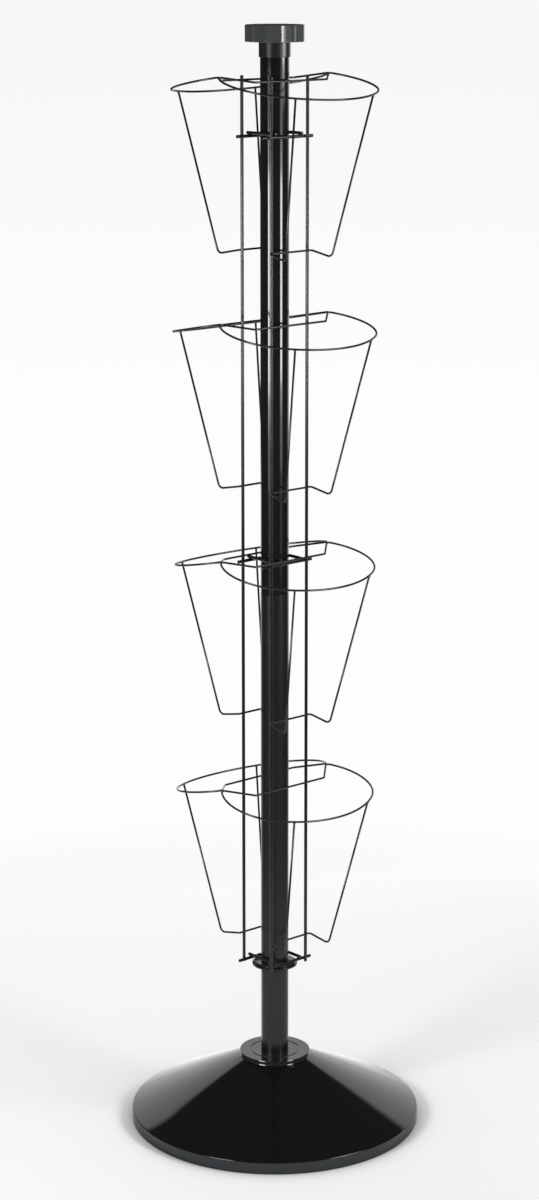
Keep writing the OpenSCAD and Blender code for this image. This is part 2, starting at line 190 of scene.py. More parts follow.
def turnedPiece(name, corners, rounding, count, finish, replaced):
    # Piece of the stand: an outline of (r, z) corners, anticlockwise, turned round the Z axis
    outline = roundedPath(corners, rounding, turning["steps"], turning["hold"], True)
    points = turned(outline[:, :1], outline[:, 1:], ringOf(count))
    faces = gridFaces(len(outline), count, True)
    addPiece(name, points, faces, finish, "stand", [replaced])


def sweptPiece(name, path, radius, steady, sides, loop, finish, replaced):
    # Piece of the carousel: a round wire along the path
    points = swept(path, radius, steady, sides, loop)
    faces = gridFaces(len(path), sides, loop)
    addPiece(name, points, faces, finish, "carousel", [replaced])


# Finishes. Scales are in waves per metre, bumps in metres, and a range is the part of a noise's
# values over which it takes effect.
glossRange = (0.3, 0.7)


def startFinish(name):
    # New material: its node tree, its Principled shader and its Object coordinates
    finish = bpy.data.materials.new(name)
    finish.use_nodes = True
    tree = finish.node_tree
    place = tree.nodes.new("ShaderNodeTexCoord").outputs["Object"]
    return finish, tree, tree.nodes["Principled BSDF"], place


def emptyTree(owner):
    # Node tree of a material or a world, without the nodes that it starts with
    owner.use_nodes = True
    owner.node_tree.nodes.clear()
    return owner.node_tree


def node(tree, kind, inputs, **settings):
    # Adds a node, sets its properties, and fills each input with a value or a link
    made = tree.nodes.new("ShaderNode" + kind)
    for key, value in settings.items():
        setattr(made, key, value)
    for key, value in inputs.items():
        if isinstance(value, bpy.types.NodeSocket):
            tree.links.new(value, made.inputs[key])
        else:
            made.inputs[key].default_value = value
    return made


def grain(tree, place, scale, detail=2.0, stretch=None):
    # Noise at the scale, drawn out along an axis where asked
    if stretch:
        place = node(tree, "Mapping", {"Vector": place, "Scale": stretch}).outputs["Vector"]
    made = node(tree, "TexNoise", {"Vector": place, "Scale": scale, "Detail": detail})
    return made.outputs["Fac"]


def spread(tree, value, fromLow, fromHigh, low=0.0, high=1.0):
    # low + (high - low) * (value - fromLow) / (fromHigh - fromLow), held between the two
    made = node(tree, "MapRange", {
        "Value": value, "From Min": fromLow, "From Max": fromHigh, "To Min": low, "To Max": high
    })
    return made.outputs["Result"]


def tint(tree, amount, first, second):
    # Colour that goes from first to second as the amount goes from 0 to 1. Sockets 6 and 7 of
    # the Mix node are its two colours, and output 2 is their mix.
    mixed = {0: amount}
    for key, colour in ((6, first), (7, second)):
        mixed[key] = colour if isinstance(colour, bpy.types.NodeSocket) else (*colour, 1.0)
    return node(tree, "Mix", mixed, data_type="RGBA").outputs[2]


def maths(tree, operation, a, b):
    # The two values joined by the operation
    return node(tree, "Math", {0: a, 1: b}, operation=operation).outputs["Value"]


def zOf(tree, place):
    # Z of the place
    return node(tree, "SeparateXYZ", {"Vector": place}).outputs["Z"]


def gloss(tree, cloud, roughness):
    # Roughness from its first value to its second as the noise rises
    return spread(tree, cloud, *glossRange, *roughness)


def bumped(tree, value, distance, under=None):
    # Surface raised by value * distance, over another bump where there is one
    inputs = {"Height": value, "Distance": distance, "Strength": 1.0}
    if under:
        inputs["Normal"] = under
    return node(tree, "Bump", inputs).outputs["Normal"]


def coat(tree, shader, colour, rough, surface):
    # Links the colour, the roughness and the bumps to the shader
    tree.links.new(colour, shader.inputs["Base Color"])
    tree.links.new(rough, shader.inputs["Roughness"])
    tree.links.new(surface, shader.inputs["Normal"])


paint = {
    "ior": 1.5, "dustRange": (0.62, 0.74), "dustDetail": 3.0, "waveDetail": 0.0,
    "peelDetail": 1.0
}


def enamel(name, look):
    # Black paint: orange peel over slow waves, cloudy gloss, and fine dust. Where the look has a
    # rim band, a paler colour painted in as a reflection shows below the rim's top edge and
    # fades out over the band's fade.
    finish, tree, shader, place = startFinish(name)
    dust = grain(tree, place, look["dustScale"], paint["dustDetail"])
    dust = spread(tree, dust, *paint["dustRange"], 0.0, look["dust"])
    colour = tint(tree, dust, look["colour"], look["dustColour"])
    # Painted reflection: below the rim's top edge the paint turns to the band's paler, bluer
    # colour
    if "paintedReflectionColour" in look:
        paintedReflection = spread(tree, zOf(tree, place), rimTop - look["paintedReflectionFade"], rimTop, 1.0, 0.0)
        colour = tint(tree, paintedReflection, colour, look["paintedReflectionColour"])
    rough = gloss(tree, grain(tree, place, look["cloudScale"]), look["roughness"])
    wave = grain(tree, place, look["waveScale"], paint["waveDetail"])
    peel = grain(tree, place, look["peelScale"], paint["peelDetail"])
    surface = bumped(tree, peel, look["peel"], bumped(tree, wave, look["wave"]))
    coat(tree, shader, colour, rough, surface)
    shader.inputs["IOR"].default_value = paint["ior"]
    return finish


footLook = {
    "colour": (0.005, 0.005, 0.0045), "dustColour": (0.04, 0.04, 0.038),
    "dust": 0.25, "dustScale": 900.0, "roughness": (0.05, 0.09), "cloudScale": 9.0,
    "wave": 0.00012, "waveScale": 14.0, "peel": 0.000008, "peelScale": 420.0,
    # painted reflection: the paler, bluer rim colour stands in for what the upright band mirrors
    "paintedReflectionColour": (0.016, 0.020, 0.023), "paintedReflectionFade": 0.0012  # paler and bluer on the rim
}
collarLook = {
    "colour": (0.010, 0.010, 0.009), "dustColour": (0.06, 0.06, 0.057),
    "dust": 0.35, "dustScale": 700.0, "roughness": (0.07, 0.13), "cloudScale": 40.0,
    "wave": 0.00002, "waveScale": 60.0, "peel": 0.00003, "peelScale": 520.0
}
upperPoleLook = {
    "colour": (0.0065, 0.0065, 0.006), "dustColour": (0.04, 0.04, 0.036),
    "dust": 0.2, "dustScale": 600.0, "roughness": (0.06, 0.10), "cloudScale": 7.0,
    "wave": 0.00003, "waveScale": 11.0, "peel": 0.000006, "peelScale": 380.0
}
lowerPoleLook = {  # duller than the upper tube
    "colour": (0.008, 0.008, 0.0075), "dustColour": (0.05, 0.05, 0.046),
    "dust": 0.2, "dustScale": 600.0, "roughness": (0.24, 0.32), "cloudScale": 7.0,
    "wave": 0.00003, "waveScale": 11.0, "peel": 0.00001, "peelScale": 700.0
}
seatLook = {
    "colour": (0.010, 0.010, 0.010), "dustColour": (0.07, 0.07, 0.065),
    "dust": 0.4, "dustScale": 600.0, "roughness": (0.10, 0.18), "cloudScale": 60.0,
    "wave": 0.00001, "waveScale": 60.0, "peel": 0.00001, "peelScale": 500.0
}
frameWireLook = {
    "colour": (0.012, 0.012, 0.012), "dustColour": (0.05, 0.05, 0.046),
    "dust": 0.1, "dustScale": 800.0, "roughness": (0.13, 0.20), "cloudScale": 25.0,
    "wave": 0.00001, "waveScale": 90.0, "peel": 0.000005, "peelScale": 1300.0
}
pocketWireLook = dict(
    frameWireLook, colour=(0.014, 0.014, 0.014), roughness=(0.12, 0.19), peelScale=1500.0
)
capLook = {
    "colour": (0.048, 0.052, 0.054), "pale": (0.058, 0.062, 0.064), "paleRange": (0.35, 0.65),
    "cloudScale": 30.0, "roughness": (0.05, 0.08), "grain": 0.000002, "grainScale": 1400.0,
    "grainDetail": 3.0, "ior": 1.5,
    "skirtColour": (0.013, 0.014, 0.015), "skirtRoughness": 0.24, "skirtFade": 0.0004
}


def capPlastic():
    # Charcoal moulded plastic with a fine spark-eroded grain, darker and duller on the skirt.
    # Sockets 2 and 3 of the Mix node are its two plain values, and output 0 is their mix.
    finish, tree, shader, place = startFinish("cap_plastic")
    gripZ = heightsOf("top_cap")[1] - cap["gripH"]
    below = spread(tree, zOf(tree, place), gripZ - capLook["skirtFade"], gripZ, 1.0, 0.0)
    cloud = grain(tree, place, capLook["cloudScale"])
    pale = spread(tree, cloud, *capLook["paleRange"])
    colour = tint(tree, pale, capLook["colour"], capLook["pale"])
    colour = tint(tree, below, colour, capLook["skirtColour"])
    rough = gloss(tree, cloud, capLook["roughness"])
    rough = node(tree, "Mix", {0: below, 2: rough, 3: capLook["skirtRoughness"]}).outputs[0]
    fine = grain(tree, place, capLook["grainScale"], capLook["grainDetail"])
    coat(tree, shader, colour, rough, bumped(tree, fine, capLook["grain"]))
    shader.inputs["IOR"].default_value = capLook["ior"]
    return finish


slipLook = {
    "colour": (0.012, 0.012, 0.013), "worn": (0.05, 0.05, 0.052), "wornRange": (0.55, 0.75),
    "wornMost": 0.6, "roughness": (0.12, 0.26), "scuffScale": 60.0, "scuffDetail": 4.0,
    "scuffStretch": (1.0, 1.0, 0.1), "grain": 0.000005, "grainScale": 900.0
}


def slipPlastic():
    # Black slippery plastic, rubbed a little where the carousel turns on it
    finish, tree, shader, place = startFinish("slip_plastic")
    scuff = grain(
        tree, place, slipLook["scuffScale"], slipLook["scuffDetail"], slipLook["scuffStretch"]
    )
    worn = spread(tree, scuff, *slipLook["wornRange"], 0.0, slipLook["wornMost"])
    colour = tint(tree, worn, slipLook["colour"], slipLook["worn"])
    rough = gloss(tree, scuff, slipLook["roughness"])
    fine = grain(tree, place, slipLook["grainScale"])
    coat(tree, shader, colour, rough, bumped(tree, fine, slipLook["grain"]))
    return finish


# Finishes of the nodes that keep their own shape, mostly out of sight
plainLooks = {
    "pad_rubber": {
        "nodes": ["foot_pads"],
        "colour": (0.018, 0.018, 0.018), "cloudColour": (0.04, 0.04, 0.038),
        "cloudScale": 120.0, "roughness": (0.65, 0.85), "grain": 0.00006,
        "grainScale": 1600.0, "metallic": 0.0
    },
    "ballast_iron": {
        "nodes": ["base_ballast"],
        "colour": (0.075, 0.075, 0.08), "cloudColour": (0.11, 0.06, 0.035),  # rust
        "cloudScale": 22.0, "roughness": (0.55, 0.75), "grain": 0.0003,
        "grainScale": 420.0, "metallic": 0.7
    },
    "zinc_steel": {
        "nodes": [
            "base_spacer", "base_bolt", "base_washer", "pole_foot_plug", "pole_coupler",
            "pole_top_plug", "cap_stud"
        ],
        "colour": (0.52, 0.52, 0.54), "cloudColour": (0.40, 0.40, 0.40),
        "cloudScale": 150.0, "roughness": (0.22, 0.40), "grain": 0.00001,
        "grainScale": 900.0, "metallic": 1.0
    }
}
plainNoise = {"cloudDetail": 4.0, "cloudRange": (0.45, 0.7), "grainDetail": 3.0}


def plainFinish(name, look):
    # Two colours in clouds, roughness that follows them, and a fine grain
    finish, tree, shader, place = startFinish(name)
    cloud = grain(tree, place, look["cloudScale"], plainNoise["cloudDetail"])
    amount = spread(tree, cloud, *plainNoise["cloudRange"])
    colour = tint(tree, amount, look["colour"], look["cloudColour"])
    rough = gloss(tree, cloud, look["roughness"])
    fine = grain(tree, place, look["grainScale"], plainNoise["grainDetail"])
    coat(tree, shader, colour, rough, bumped(tree, fine, look["grain"]))
    shader.inputs["Metallic"].default_value = look["metallic"]
    return finish


# Foot cover: one spun sheet, from its hole under the collar out to the rim's lower edge
cover = {
    "outerR": 0.2, "rimTop": 0.0166, "flatR": 0.046, "sheet": 0.0015, "holeR": 0.021,
    "edgeR": 0.0016, "innerEdgeR": 0.0004, "lipR": 0.0003, "around": 288
}
rimTop = cover["rimTop"]


def footCover(finish):
    # The sheet's inside lies its thickness in from the outside. On a cone of slope s that is
    # sheet / cos s straight down, so the inner corners lie that much under the outer slope.
    low, top = heightsOf("base_cover")
    slope = math.atan2(top - rimTop, cover["outerR"] - cover["flatR"])
    sheet = cover["sheet"]
    innerR = cover["outerR"] - sheet
    under = top - sheet
    innerRim = rimTop + sheet * math.tan(slope) - sheet / math.cos(slope)
    innerFlatR = cover["outerR"] - (under - rimTop + sheet / math.cos(slope)) / math.tan(slope)
    corners = [
        (cover["outerR"], low), (cover["outerR"], rimTop), (cover["flatR"], top),
        (cover["holeR"], top), (cover["holeR"], under), (innerFlatR, under),
        (innerR, innerRim), (innerR, low)
    ]
    lip, inner, edge = cover["lipR"], cover["innerEdgeR"], cover["edgeR"]
    rounding = [lip, edge, edge, lip, lip, inner, inner, lip]
    turnedPiece(
        "foot_cover_shell", corners, rounding, cover["around"], finish,
        "base_cover"
    )


# Collar: a thick disc with a ring groove in its top, and the pole's socket in its middle. Its
# side is bevelled at the top, leans in below and flares out to its foot.
collar = {
    "outerR": 0.0489, "bevelW": 0.00046, "bevelH": 0.00085, "flareW": 0.0008,
    "flareH": 0.00147, "grooveR": 0.0335, "grooveW": 0.0016, "grooveDeep": 0.0008,
    "socketGap": 0.0001, "floor": 0.002, "boltR": 0.0065, "smallR": 0.00025, "around": 192
}


def footCollar(finish):
    # Corners up the side, in over the top and its groove, and down through the socket
    low, top = heightsOf("base_collar")
    outer = collar["outerR"]
    grooveIn = collar["grooveR"] - collar["grooveW"] / 2
    grooveOut = collar["grooveR"] + collar["grooveW"] / 2
    grooveZ = top - collar["grooveDeep"]
    socketR = poleR + collar["socketGap"]
    floorZ = low + collar["floor"]
    corners = [
        (outer, low), (outer - collar["flareW"], low + collar["flareH"]),
        (outer, top - collar["bevelH"]), (outer - collar["bevelW"], top), (grooveOut, top),
        (grooveOut, grooveZ), (grooveIn, grooveZ), (grooveIn, top), (socketR, top),
        (socketR, floorZ), (collar["boltR"], floorZ), (collar["boltR"], low)
    ]
    turnedPiece(
        "foot_collar_disc", corners, collar["smallR"], collar["around"], finish,
        "base_collar"
    )


# Pole: two tubes, whose chamfers make a small groove where they meet
pole = {
    "r": 0.019, "wall": 0.0015, "chamfer": 0.0006, "cut": 0.0002, "softR": 0.0002,
    "around": 128
}
poleR = pole["r"]


def poleTube(name, replaced, lowChamfer, highChamfer, finish):
    # Wall between the bore and the pole's outside, which has a chamfer at each end
    low, high = heightsOf(replaced)
    bore = poleR - pole["wall"]
    corners = [
        (poleR - lowChamfer, low), (poleR, low + lowChamfer), (poleR, high - highChamfer),
        (poleR - highChamfer, high), (bore, high), (bore, low)
    ]
    turnedPiece(name, corners, pole["softR"], pole["around"], finish, replaced)


# Seat disc on the pole, and the slip washer that the carousel turns on
seat = {"edgeR": 0.0009, "boreR": 0.00015, "slipGap": 0.0001, "around": 128}


def seatDisc(name, replaced, innerR, finish):
    # Flat ring as wide and as thick as its node, with a rounded outer edge
    low, high = cornersOf(replaced)
    corners = [(high[0], low[2]), (high[0], high[2]), (innerR, high[2]), (innerR, low[2])]
    rounding = [seat["edgeR"], seat["edgeR"], seat["boreR"], seat["boreR"]]
    turnedPiece(name, corners, rounding, seat["around"], finish, replaced)


# Cap: a grip with hollow flats between narrow ribs over a round skirt
cap = {
    "gripR": 0.0393, "gripH": 0.0216, "flats": 12, "hollowR": 0.0576, "ribW": 0.0008,
    "edgeR": 0.0007, "smallR": 0.0002, "skirtR": 0.0207, "skirtEdgeR": 0.0004,
    "boreR": 0.0191, "web": 0.0024, "studR": 0.00505, "studDeep": 0.015, "faceSteps": 20,
    "smoothFrom": 0.024
}
gripPitch = 2 * math.pi / cap["flats"]
gripHalf = gripPitch / 2 - math.asin(cap["ribW"] / 2 / cap["gripR"])


def gripShare(a):
    # Share of the grip's radius that is left at the angle a. Between two ribs it is the near
    # side of a round hollow: (c cos d - sqrt(R^2 - c^2 sin^2 d)) / grip radius, with d the angle
    # from the flat's middle, R the hollow's radius and c the distance of its centre.
    ribY = cap["gripR"] * math.sin(gripHalf)
    centre = cap["gripR"] * math.cos(gripHalf) + math.sqrt(cap["hollowR"] ** 2 - ribY ** 2)
    d = np.minimum(np.abs(np.mod(a, gripPitch) - gripPitch / 2), gripHalf)
    near = centre * np.cos(d) - np.sqrt(cap["hollowR"] ** 2 - (centre * np.sin(d)) ** 2)
    return near / cap["gripR"]


def capPiece(finish):
    # Outline from the stud's hole round to the top, turned round the Z axis. Its radius becomes
    # r (1 + (share - 1) reach), with reach from 0 at smoothFrom to 1 at the grip's radius. The
    # outline's two ends lie on the axis, where the fans' points take their place.
    skirtZ, top = heightsOf("top_cap")
    gripZ = top - cap["gripH"]
    poleTop = gripZ - cap["web"]
    holeTop = poleTop + cap["studDeep"]
    corners = [
        (0, holeTop), (cap["studR"], holeTop), (cap["studR"], poleTop),
        (cap["boreR"], poleTop), (cap["boreR"], skirtZ), (cap["skirtR"], skirtZ),
        (cap["skirtR"], gripZ), (cap["gripR"], gripZ), (cap["gripR"], top), (0, top)
    ]
    small, edge, skirtEdge = cap["smallR"], cap["edgeR"], cap["skirtEdgeR"]
    rounding = [0, small, small, small, skirtEdge, skirtEdge, small, edge, edge, 0]
    outline = roundedPath(corners, rounding, turning["steps"], turning["hold"], False)[1:-1]
    face = gripPitch / 2 + gripHalf * np.linspace(-1, 1, cap["faceSteps"] + 1)
    angles = (np.arange(cap["flats"])[:, None] * gripPitch + np.append(0, face)).ravel()
    r = outline[:, :1]
    reach = np.clip((r - cap["smoothFrom"]) / (cap["gripR"] - cap["smoothFrom"]), 0, 1)
    points = turned(r * (1 + (gripShare(angles) - 1) * reach), outline[:, 1:], angles)
    points = np.concatenate([points, [[0, 0, holeTop], [0, 0, top]]])
    faces = gridFaces(len(outline), len(angles), False)
    addPiece("cap_grip_and_skirt", points, faces, finish, "stand", ["top_cap"])


# Carousel: straight wires with rounded cut ends. A welded wire sinks into the next, and an
# upright's stub stands out above the middle of the highest back bar.
frameWire = {
    "d": 0.0044, "sink": 0.0002, "stub": 0.0061, "endR": 0.0006, "endSteps": 4,
    "hold": 0.0004, "sides": 20
}


def cutRod(name, replaced, axis, finish):
    # Wire along one axis of its node's box. In from each end by e (1 - cos a), its radius has
    # grown from r - e to r - e + e sin a.
    low, high = cornersOf(replaced)
    start = (low + high) / 2
    stop = start.copy()
    start[axis] = low[axis]
    stop[axis] = high[axis]
    a = np.linspace(0, math.pi / 2, frameWire["endSteps"] + 1)
    e = frameWire["endR"]
    radius = frameWire["d"] / 2
    inset = np.append(e * (1 - np.cos(a)), e + frameWire["hold"])
    grown = np.append(radius - e + e * np.sin(a), radius)
    ahead = unit(stop - start)
    path = np.concatenate([start + ahead * inset[:, None], stop - ahead * inset[::-1, None]])
    radii = np.concatenate([grown, grown[::-1]])
    steady = np.eye(3)[0 if axis == 1 else 1]
    sweptPiece(
        name, path, radii, steady, frameWire["sides"], False, finish,
        replaced
    )


def straightWires(finish):
    # Uprights along Z, cross wires along X and link bars along Y
    for column in sideOf:
        for end in ends:
            cutRod(f"upright_wire_{column}_{end}", f"upright_{column}_{end}", 2, finish)
        for level in levels:
            cutRod(f"cross_rod_{column}_{level}", f"cross_wire_{column}_{level}", 0, finish)
    for end in ends:
        for level in levels:
            cutRod(f"link_rod_{end}_{level}", f"link_bar_{end}_{level}", 1, finish)


# Pockets: the ring's outline in its own tilted plane, and the cradle that hangs from it. The
# ring's reach, its widest place and the cradle's foot are measured out from the pole's axis,
# and the drop down from the ring's plane there. Jog and tilt are in degrees.
pocket = {
    "d": 0.0028, "tilt": 11.2, "width": 0.227, "reach": 0.1331, "wideAt": 0.0487,
    "barW": 0.1244, "endGap": 0.0023, "frontR": 0.1472, "bendR": 0.005, "jog": 45.0,
    "legTopW": 0.1336, "footW": 0.0806, "footOut": 0.0664, "footDrop": 0.2327,
    "heelW": 0.0726, "heelRise": 0.0068, "footBendR": 0.007, "heelBendR": 0.0035,
    "sides": 16, "bendSteps": 7, "arcSteps": 18, "steady": (1.0, 1.0, -1.0), "hold": 0.001
}
tiltCos = math.cos(math.radians(pocket["tilt"]))
tiltSin = math.sin(math.radians(pocket["tilt"]))
frontV = pocket["reach"] - pocket["frontR"]
uprightMiddle = middleOf("upright_back_right")
barY = uprightMiddle[1] + (frameWire["d"] + pocket["d"]) / 2 - frameWire["sink"]
tierPitch = middleOf("ring_front_2")[2] - middleOf("ring_front_1")[2]


def ringPlane(tier):
    # Height at which the plane of a tier's rings meets the pole's axis: from the uprights' top
    # down to the highest back bars, up the plane's slope to the axis, and down the tiers
    uprightTop = heightsOf("upright_back_right")[1]
    highest = uprightTop - frameWire["stub"] + barY * tiltSin / tiltCos
    return highest - (len(tiers) - tier) * tierPitch


def ringOutline():
    # Half of the ring, from the middle of the back bar round to the middle of the front: the
    # bar, a bend, a slant back, the end bend, and then three arcs that touch each other. The
    # back arc touches the end bend and the widest place, the side arc the widest place and the
    # front arc, so each radius comes from the distance between two centres.
    bendR, frontR, wideAt = pocket["bendR"], pocket["frontR"], pocket["wideAt"]
    jog = math.radians(pocket["jog"])
    half = pocket["width"] / 2
    barV = barY / tiltCos
    slant = (barV - pocket["endGap"] - bendR * (1 - math.cos(jog))) / math.sin(jog)
    endX = pocket["barW"] / 2 + slant * math.cos(jog) + bendR * math.sin(jog)
    endC = (endX, pocket["endGap"] + bendR)
    dx = endC[0] - half
    dy = endC[1] - wideAt
    backR = (dx ** 2 + dy ** 2 - bendR ** 2) / (-2 * (dx + bendR))
    deep = pocket["reach"] - wideAt
    sideR = (half ** 2 + deep ** 2 - 2 * deep * frontR) / (2 * (half - frontR))
    backC = (half - backR, wideAt)
    sideC = (half - sideR, wideAt)
    frontC = (0, frontV)
    backFrom = math.degrees(math.atan2(endC[1] - backC[1], endC[0] - backC[0]))
    frontFrom = math.degrees(math.atan2(sideC[1] - frontC[1], sideC[0] - frontC[0]))
    barEnd = pocket["barW"] / 2 - bendR * math.tan(jog / 2)
    bends, arcs = pocket["bendSteps"], pocket["arcSteps"]
    right = np.concatenate([
        arcPoints((barEnd, barV - bendR), bendR, 90, 90 - pocket["jog"], bends),
        arcPoints(endC, bendR, -90 - pocket["jog"], backFrom, 2 * bends)[:-1],
        arcPoints(backC, backR, backFrom, 0, arcs)[:-1],
        arcPoints(sideC, sideR, 0, frontFrom, arcs)[:-1],
        arcPoints(frontC, frontR, frontFrom, 90, arcs)
    ])
    left = right[-2::-1] * (-1, 1)
    return np.concatenate([right, left])


def placed(local, column, tier):
    # Half a turn about the axis for the front column, and up to the tier
    side = sideOf[column]
    return local * (side, side, 1) + (0, 0, ringPlane(tier))


def pocketRing(column, tier, finish):
    # Outline point (x, v) goes to (x, v cos tilt, -v sin tilt)
    flat = ringOutline()
    local = np.stack([flat[:, 0], flat[:, 1] * tiltCos, -flat[:, 1] * tiltSin], -1)
    steady = np.array([0, sideOf[column] * tiltSin, tiltCos])
    sweptPiece(
        f"ring_wire_{column}_{tier}", placed(local, column, tier), pocket["d"] / 2, steady,
        pocket["sides"], True, finish, f"ring_{column}_{tier}"
    )


def cradleCorners():
    # Leg top, outer bottom corner and inner bottom corner, then their mirror images. The leg's
    # top lies on the ring's front arc and sinks a weld's depth into its underside.
    topV = frontV + math.sqrt(pocket["frontR"] ** 2 - (pocket["legTopW"] / 2) ** 2)
    onRing = np.array([pocket["legTopW"] / 2, topV * tiltCos, -topV * tiltSin])
    foot = np.array([pocket["footW"] / 2, pocket["footOut"], -pocket["footDrop"]])
    heel = np.array([pocket["heelW"] / 2, barY, pocket["heelRise"] - pocket["footDrop"]])
    top = onRing + unit(foot - onRing) * (pocket["d"] / 2 - frameWire["sink"])
    half = np.stack([top, foot, heel])
    return np.concatenate([half, half[::-1] * (-1, 1, 1)])


def pocketCradle(column, tier, finish):
    # One wire through the cradle's corners, bent with two radii
    bends = [0, pocket["footBendR"], pocket["heelBendR"]]
    path = roundedPath(
        cradleCorners(), bends + bends[::-1], pocket["bendSteps"], pocket["hold"], False
    )
    sweptPiece(
        f"cradle_wire_{column}_{tier}", placed(path, column, tier), pocket["d"] / 2,
        unit(np.array(pocket["steady"])), pocket["sides"], False, finish,
        f"cradle_{column}_{tier}"
    )


# Welds: a small squashed bead of metal under the paint where two wires cross. The half sizes
# run along the one wire, along the other and away from both. On a leg's top, two of them run
# across the leg and the last along it.
weld = {
    "frameHalf": (0.0021, 0.0021, 0.0010), "pocketHalf": (0.0018, 0.0018, 0.0008),
    "legHalf": (0.0020, 0.0020, 0.0012), "rows": 7, "columns": 12
}


def ball():
    # Unit ball: (cos p cos a, cos p sin a, sin p), rows from the lower pole to the upper
    p = np.linspace(-math.pi / 2, math.pi / 2, weld["rows"] + 2)[1:-1, None]
    points = turned(np.cos(p), np.sin(p), ringOf(weld["columns"]))
    return np.concatenate([points, [[0, 0, -1], [0, 0, 1]]])


def beads(name, spots, axes, finish):
    # One bead per spot: point = spot + x u + y v + z n, for the ball's points and the spot's
    # three scaled axes
    points = ball()
    lumps = np.array(spots)[:, None] + np.einsum("pk,skd->spd", points, np.array(axes))
    shift = np.arange(len(spots))[:, None, None] * len(points)
    faces = gridFaces(weld["rows"], weld["columns"], False)
    faces = [(part[None] + shift).reshape(-1, part.shape[1]) for part in faces]
    addPiece(name, lumps.reshape(-1, 3), faces, finish, "carousel")


def crossWelds(finish):
    # Cross wires on the uprights, and link bars on the cross wires
    spots = []
    axes = []
    across, out, up = np.eye(3)
    first, second, thin = weld["frameHalf"]
    for column in sideOf:
        for level in levels:
            cross = middleOf(f"cross_wire_{column}_{level}")
            for end in ends:
                upright = middleOf(f"upright_{column}_{end}")
                spots.append((upright[0], (upright[1] + cross[1]) / 2, cross[2]))
                axes.append((up * first, across * second, out * thin))
                link = middleOf(f"link_bar_{end}_{level}")
                spots.append((link[0], cross[1], (link[2] + cross[2]) / 2))
                axes.append((across * first, out * second, up * thin))
    beads("frame_weld_beads", spots, axes, finish)


def pocketWelds(finish):
    # Ring bars and cradle bars on the uprights, and leg tops under the rings. A leg's three
    # axes are mirrored with it, and two of them change places where that turns a bead inside
    # out.
    spots = []
    axes = []
    across, out, up = np.eye(3)
    first, second, thin = weld["pocketHalf"]
    legX, legY, legZ = weld["legHalf"]
    legTop, foot, heel = cradleCorners()[:3]
    barDrop = -barY / tiltCos * tiltSin
    touch = uprightMiddle[1] + frameWire["d"] / 2 - frameWire["sink"] / 2
    legAxis = unit(foot - legTop)
    legSide = unit(np.cross(legAxis, across))
    legTurn = np.cross(legSide, legAxis)
    for column, side in sideOf.items():
        for tier in tiers:
            for end in (-1, 1):
                for drop in (barDrop, heel[2]):
                    spot = np.array([end * uprightMiddle[0], touch, drop])
                    spots.append(placed(spot, column, tier))
                    axes.append((up * first, across * second, out * thin))
                spots.append(placed(legTop * (end, 1, 1), column, tier))
                trio = np.array([legSide * legX, legTurn * legY, legAxis * legZ])
                trio = trio * (end * side, side, 1)
                axes.append(trio if np.linalg.det(trio) > 0 else trio[[1, 0, 2]])
    beads("pocket_weld_beads", spots, axes, finish)


# Dressing the frame
footFinish = enamel("foot_enamel", footLook)
collarFinish = enamel("collar_enamel", collarLook)
upperFinish = enamel("upper_pole_enamel", upperPoleLook)
lowerFinish = enamel("lower_pole_enamel", lowerPoleLook)
seatFinish = enamel("seat_enamel", seatLook)
frameFinish = enamel("frame_powder_coat", frameWireLook)
pocketFinish = enamel("pocket_powder_coat", pocketWireLook)

footCover(footFinish)
footCollar(collarFinish)
poleTube(
    "pole_tube_lower", "pole_lower_tube", pole["cut"], pole["chamfer"], lowerFinish,
)
poleTube(
    "pole_tube_upper", "pole_upper_tube", pole["chamfer"], pole["cut"], upperFinish,
)
seatDisc("seat_disc", "turning_seat", poleR, seatFinish)
seatDisc("slip_ring", "slip_washer", poleR + seat["slipGap"], slipPlastic())
capPiece(capPlastic())
print(f"stand: {pieceCount['made']} pieces made")

straightWires(frameFinish)
for column in sideOf:
    for tier in tiers:
        pocketRing(column, tier, pocketFinish)
        pocketCradle(column, tier, pocketFinish)
crossWelds(frameFinish)
pocketWelds(pocketFinish)
print(f"carousel: {pieceCount['made']} pieces made in all")

for name, look in plainLooks.items():
    finish = plainFinish(name, look)
    for kept in look["nodes"]:
        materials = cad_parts[kept].data.materials
        materials.clear()
        materials.append(finish)
print("finishes: rubber, iron and steel on the kept nodes")

# Studio. Azimuths are in degrees, seen from above, from the camera's side of the pole towards
# the right. The focal length is in the pixels of a picture that is as high as the film.
viewLook = {
    "focal": 2807.1, "tall": 1200, "film": 36.0, "distance": 3.6849, "height": 1.62,
    "turn": 41.5, "yaw": 0.11, "down": 13.36, "roll": -0.028, "clip": (0.05, 100.0)
}
white = (1, 1, 1, 1)
viewTurn = math.radians(viewLook["turn"])
towards = np.array([-math.sin(viewTurn), -math.cos(viewTurn), 0])
rightward = np.array([math.cos(viewTurn), -math.sin(viewTurn), 0])


def atAzimuth(azimuth, distance, z):
    # distance * (cos f * towards + sin f * rightward) at the height z, for the azimuth f
    f = np.radians(azimuth)[..., None]
    z = np.asarray(z)[..., None]
    return distance * (np.cos(f) * towards + np.sin(f) * rightward) + z * np.array([0, 0, 1])


def addCamera():
    # Turned level towards the pole, tilted down, and then rolled about its own line of sight
    lens = bpy.data.cameras.new("studio_camera")
    lens.sensor_width = viewLook["film"]
    lens.lens = viewLook["focal"] * viewLook["film"] / viewLook["tall"]
    lens.clip_start, lens.clip_end = viewLook["clip"]
    eye = bpy.data.objects.new("studio_camera", lens)
    eye.location = atAzimuth(0.0, viewLook["distance"], viewLook["height"])
    tilted = Euler([math.radians(angle) for angle in (
        90 - viewLook["down"], 0, viewLook["yaw"] - viewLook["turn"]
    )]).to_matrix()
    roll = Matrix.Rotation(math.radians(viewLook["roll"]), 3, "Z")
    eye.rotation_euler = (tilted @ roll).to_euler()
    bpy.context.scene.collection.objects.link(eye)
    bpy.context.scene.camera = eye


